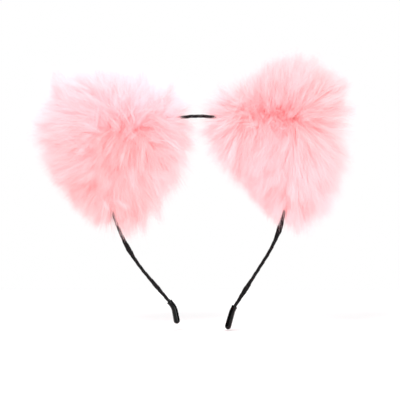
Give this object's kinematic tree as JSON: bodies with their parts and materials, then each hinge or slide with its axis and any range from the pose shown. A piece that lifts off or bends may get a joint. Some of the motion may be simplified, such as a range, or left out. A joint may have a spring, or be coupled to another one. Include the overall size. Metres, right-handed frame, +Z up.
{
  "type": "animal ears headband",
  "caption": "Springy ribbon-wrapped headband with slip-on tip caps and two long-pile faux-fur animal ears wired and sewn to its shoulders.",
  "frame": {"origin": "middle of the crown's inner face, where the band sits on top of the head", "axes": "+Z up, away from the head; X along the crown with the wearer's right ear at -X; +Y towards the back of the head"},
  "size_m": [0.2109, 0.0662, 0.1771],
  "materials": {
    "faux_fur": "matte",
    "satin_ribbon": "satin",
    "tip_cap": "gloss",
    "spring_steel": "satin",
    "galvanised_wire": "satin",
    "black_thread": "matte",
    "pink_thread": "matte",
    "fibre_fill": "matte",
    "pink_felt": "matte"
  },
  "bodies": {
    "crown": {"spring_strip": "spring_steel", "crown_ribbon_wrap": "satin_ribbon"},
    "left_ear": {"left_ear_ribbon_wrap": "satin_ribbon", "left_ear_wire": "galvanised_wire", "left_inner_lashing": "black_thread", "left_outer_lashing": "black_thread", "left_seam_stitches": "pink_thread", "left_stuffing": "fibre_fill", "left_base_strip": "pink_felt", "left_fur_front": "faux_fur", "left_fur_back": "faux_fur"},
    "left_leg": {"left_leg_ribbon_wrap": "satin_ribbon", "left_tip_cap": "tip_cap"},
    "right_ear": {"right_ear_ribbon_wrap": "satin_ribbon", "right_ear_wire": "galvanised_wire", "right_inner_lashing": "black_thread", "right_outer_lashing": "black_thread", "right_seam_stitches": "pink_thread", "right_stuffing": "fibre_fill", "right_base_strip": "pink_felt", "right_fur_front": "faux_fur", "right_fur_back": "faux_fur"},
    "right_leg": {"right_leg_ribbon_wrap": "satin_ribbon", "right_tip_cap": "tip_cap"}
  },
  "joints": [
    {"name": "left_shoulder_flex", "type": "hinge", "parent": "crown", "child": "left_ear", "pos_m": [-0.01292, 0, -0.00029], "axis": [0, 1, 0], "range_deg": [-3, 18], "stiffness_Nm_per_rad": 0.9, "deforming": ["spring_strip"]},
    {"name": "left_leg_flex", "type": "hinge", "parent": "left_ear", "child": "left_leg", "pos_m": [-0.05516, 0, -0.06719], "axis": [0, 1, 0], "range_deg": [-2, 12], "stiffness_Nm_per_rad": 0.6, "deforming": ["spring_strip"]},
    {"name": "right_shoulder_flex", "type": "hinge", "parent": "crown", "child": "right_ear", "pos_m": [0.01292, 0, -0.00029], "axis": [0, -1, 0], "range_deg": [-3, 18], "stiffness_Nm_per_rad": 0.9, "deforming": ["spring_strip"]},
    {"name": "right_leg_flex", "type": "hinge", "parent": "right_ear", "child": "right_leg", "pos_m": [0.05504, 0, -0.06696], "axis": [0, -1, 0], "range_deg": [-2, 12], "stiffness_Nm_per_rad": 0.6, "deforming": ["spring_strip"]}
  ],
  "couplings": [
    {"joint": "left_leg_flex", "follows": "left_shoulder_flex", "ratio": 0.65},
    {"joint": "right_leg_flex", "follows": "right_shoulder_flex", "ratio": 0.65}
  ]
}
